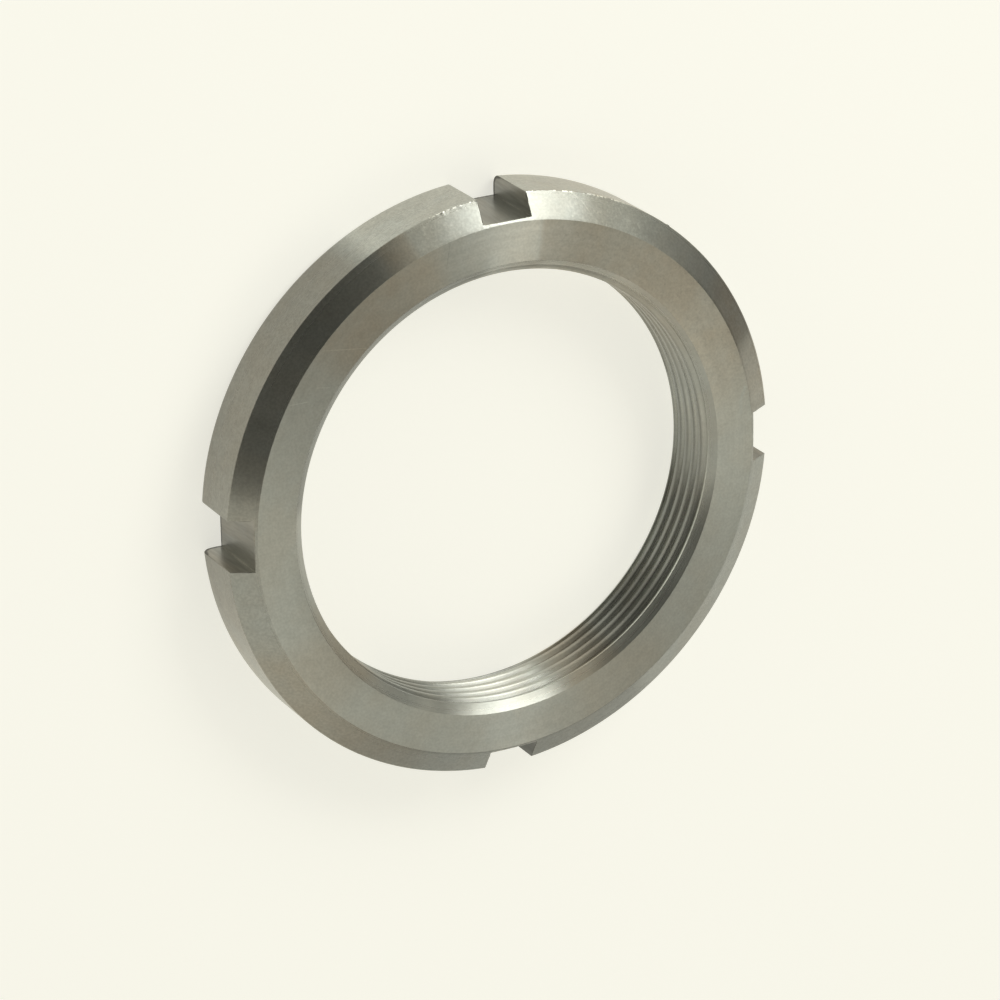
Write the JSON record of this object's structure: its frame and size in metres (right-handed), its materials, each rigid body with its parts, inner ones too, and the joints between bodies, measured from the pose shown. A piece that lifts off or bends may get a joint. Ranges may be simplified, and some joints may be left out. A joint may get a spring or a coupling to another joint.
{
  "type": "bearing lock nut",
  "caption": "Slim steel ring nut with a fine internal thread, spanner slots milled across its rim, a wide chamfer round the seating face and a rounded back edge.",
  "frame": {"origin": "centre of the back face, on the thread's axis", "axes": "+Z along the thread's axis, out of the chamfered seating face; +X and +Y through the middle of two spanner slots"},
  "size_m": [0.0916, 0.0916, 0.012],
  "materials": {
    "machined_steel": "fine turned, with milled slots and a light oil film"
  },
  "bodies": {
    "root": {"lock_nut": "machined_steel"}
  },
  "joints": []
}
